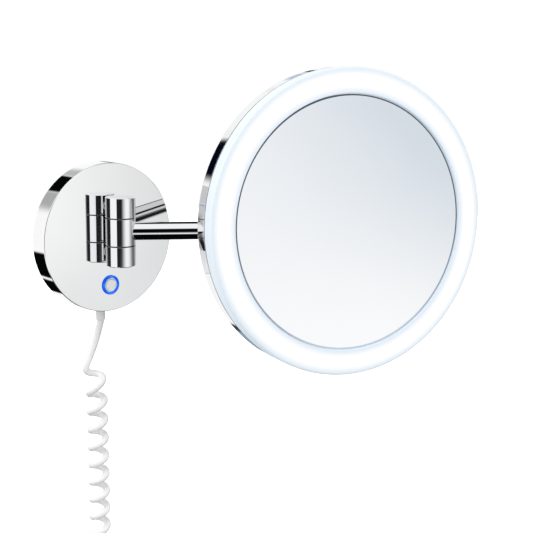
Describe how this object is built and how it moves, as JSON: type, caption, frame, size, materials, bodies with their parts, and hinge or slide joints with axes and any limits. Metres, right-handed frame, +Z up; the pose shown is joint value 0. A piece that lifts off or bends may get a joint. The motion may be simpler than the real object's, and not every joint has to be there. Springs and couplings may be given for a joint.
{
  "type": "wall-mounted shaving mirror",
  "caption": "Round lit shaving mirror on a chrome swing arm with a three-knuckle hinge barrel, a polished round wall plate, a ring-lit push button and a hanging curly cord.",
  "frame": {"origin": "centre of the back of the wall plate, on the wall", "axes": "+Y into the wall, +Z up, +X to the side that the arm points to at rest"},
  "size_m": [0.3066, 0.202, 0.5933],
  "materials": {
    "polished_plate": "mirror-polished chrome plate",
    "chrome": "bright chrome plating",
    "steel": "plain zinc-plated or stainless steel",
    "aluminium": "plain rolled aluminium",
    "lit_acrylic": "white light-diffusing acrylic, lit",
    "mirror_glass": "silvered magnifying glass",
    "blue_light": "blue translucent plastic, lit",
    "button_metal": "fine brushed stainless steel",
    "white_cord": "smooth white cable sheath",
    "white_plastic": "moulded white plastic",
    "nylon": "dark nylon",
    "rubber": "black rubber",
    "circuit_board": "white solder mask"
  },
  "bodies": {
    "wall_unit": {"plate_cover": "polished_plate", "hinge_stub_upper": "chrome", "hinge_stub_lower": "chrome", "hinge_knuckle_upper": "chrome", "hinge_knuckle_lower": "chrome", "wall_bracket": "steel", "cover_grub_screw": "steel", "driver_screw_lower": "steel", "driver_screw_upper": "steel", "hinge_backplate": "steel", "stub_nut_upper": "steel", "stub_nut_lower": "steel", "hinge_pin": "steel", "switch_nut": "steel", "plug_pin_left": "steel", "plug_pin_right": "steel", "led_driver": "white_plastic", "terminal_block": "white_plastic", "cord_ferrule": "white_plastic", "plug_relief": "white_plastic", "plug_body": "white_plastic", "hinge_washer_upper": "nylon", "hinge_washer_lower": "nylon", "return_dome": "rubber", "switch_body": "nylon", "button_light_ring": "blue_light", "cord_lead": "white_cord", "cord_spiral": "white_cord", "cord_tail": "white_cord"},
    "button": {"button_cap": "button_metal"},
    "arm": {"hinge_knuckle_middle": "chrome", "hinge_bush_upper": "nylon", "hinge_bush_lower": "nylon", "arm_tube": "chrome", "tip_knuckle_lower": "chrome"},
    "yoke": {"tip_knuckle_upper": "chrome", "swivel_pin": "steel", "swivel_washer": "nylon"},
    "mirror_head": {"tilt_bracket": "chrome", "tilt_bolt": "steel", "tilt_nut": "steel", "tilt_washer_left": "nylon", "tilt_washer_right": "nylon", "bracket_screw_1": "steel", "bracket_screw_2": "steel", "bracket_screw_3": "steel", "bracket_screw_4": "steel", "bracket_nut_plate": "steel", "head_housing": "chrome", "plate_spacer_1": "aluminium", "plate_spacer_2": "aluminium", "plate_spacer_3": "aluminium", "back_plate": "aluminium", "led_ring_board": "circuit_board", "glass_carrier": "white_plastic", "glass_pad": "rubber", "light_ring": "lit_acrylic", "mirror_glass": "mirror_glass"}
  },
  "joints": [
    {"name": "arm_swing", "type": "hinge", "parent": "wall_unit", "child": "arm", "pos_m": [0, -0.0322, 0.007], "axis": [0, 0, -1], "range_deg": [-33, 107]},
    {"name": "head_swivel", "type": "hinge", "parent": "arm", "child": "yoke", "pos_m": [0.13779, -0.12168, 0.007], "axis": [0, 0, 1], "range_deg": [-16, 135]},
    {"name": "head_tilt", "type": "hinge", "parent": "yoke", "child": "mirror_head", "pos_m": [0.13356, -0.13587, 0.01665], "axis": [-0.9583, 0.2857, 0], "range_deg": [-27, 23]},
    {"name": "button_press", "type": "slide", "parent": "wall_unit", "child": "button", "axis": [0, 1, 0], "range_m": [0, 0.0008], "stiffness_N_per_m": 1500}
  ]
}
